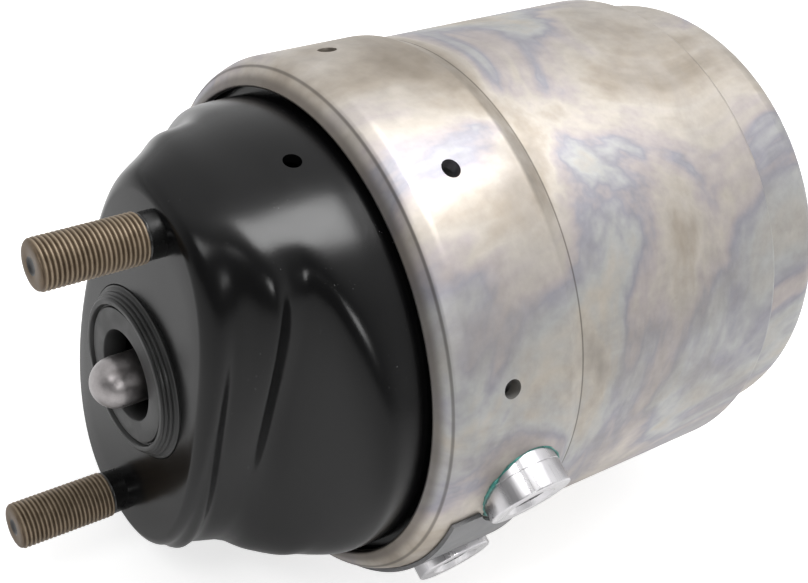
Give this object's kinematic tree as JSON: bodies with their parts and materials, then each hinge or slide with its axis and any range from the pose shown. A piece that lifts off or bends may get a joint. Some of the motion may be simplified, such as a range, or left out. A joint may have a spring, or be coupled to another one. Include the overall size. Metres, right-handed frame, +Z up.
{
  "type": "air brake chamber",
  "caption": "Spring brake chamber for a disc brake caliper: studded mouth housing with ball-ended push rod ahead of a round parking spring shell with side ports.",
  "frame": {"origin": "centre of the flat mounting face, midway between the two studs", "axes": "+X along the chamber from the mounting face to the rear cover, +Z up along the line of the studs, studs point to -X"},
  "size_m": [0.2901, 0.192, 0.1814],
  "materials": {
    "black_paint": "semi-gloss black paint",
    "phosphated_steel": "phosphated thread",
    "plain_steel": "plain",
    "black_rubber": "moulded rubber",
    "spring_steel": "coated spring wire",
    "bare_steel": "bare forged steel",
    "chromated_aluminium": "chromated satin",
    "cast_aluminium": "as cast",
    "turned_aluminium": "turned",
    "green_sealant": "cured sealing compound",
    "tag_grey": "bare printed-film plate without print",
    "bush_plastic": "moulded",
    "zinc_steel": "zinc plated"
  },
  "bodies": {
    "chamber": {"service_housing": "black_paint", "mounting_studs": "phosphated_steel", "stud_plate": "plain_steel", "mouth_seal": "black_rubber", "rod_boot": "black_rubber", "spring_seat": "plain_steel", "return_spring": "spring_steel", "service_diaphragm": "black_rubber", "body_shell": "chromated_aluminium", "flange": "cast_aluminium", "flange_seal": "black_rubber", "spring_port_adapter": "turned_aluminium", "service_port_adapter": "turned_aluminium", "port_seals": "black_rubber", "port_sealant": "green_sealant", "identification_tag": "tag_grey", "tube_seal": "black_rubber", "guide_bush": "bush_plastic", "bush_snap_ring": "spring_steel", "power_spring": "spring_steel", "rear_cover": "chromated_aluminium", "cover_seal": "black_rubber"},
    "parking_piston": {"spring_piston": "cast_aluminium", "piston_tube": "plain_steel", "tube_plug": "bush_plastic", "piston_seal": "black_rubber", "piston_guide_band": "bush_plastic"},
    "push_plate": {"push_plate": "plain_steel", "ball_retainer": "plain_steel"},
    "push_rod": {"push_rod": "bare_steel"},
    "release_washer": {"release_washer": "plain_steel"},
    "release_bolt": {"release_bolt": "zinc_steel"}
  },
  "joints": [
    {"name": "parking_stroke", "type": "slide", "parent": "chamber", "child": "parking_piston", "axis": [-1, 0, 0], "range_m": [0, 0.055], "deforming": ["power_spring"]},
    {"name": "push_plate_stroke", "type": "slide", "parent": "chamber", "child": "push_plate", "axis": [-1, 0, 0], "range_m": [0, 0.055], "stiffness_N_per_m": 1000, "springref_m": -0.03, "deforming": ["return_spring", "service_diaphragm", "rod_boot"]},
    {"name": "push_rod_tilt", "type": "hinge", "parent": "push_plate", "child": "push_rod", "pos_m": [0.0649, 0, 0], "axis": [0, 1, 0], "range_deg": [-3, 3], "stiffness_Nm_per_rad": 6},
    {"name": "release_travel", "type": "slide", "parent": "chamber", "child": "release_washer", "axis": [1, 0, 0], "range_m": [0, 0.004]},
    {"name": "release_turn", "type": "hinge", "parent": "release_washer", "child": "release_bolt", "pos_m": [0.2, 0, 0], "axis": [1, 0, 0], "range_deg": [0, 720]}
  ],
  "couplings": [
    {"joint": "push_plate_stroke", "follows": "parking_stroke", "ratio": 1},
    {"joint": "release_turn", "follows": "release_travel", "rad_per_m": 3141.6}
  ]
}
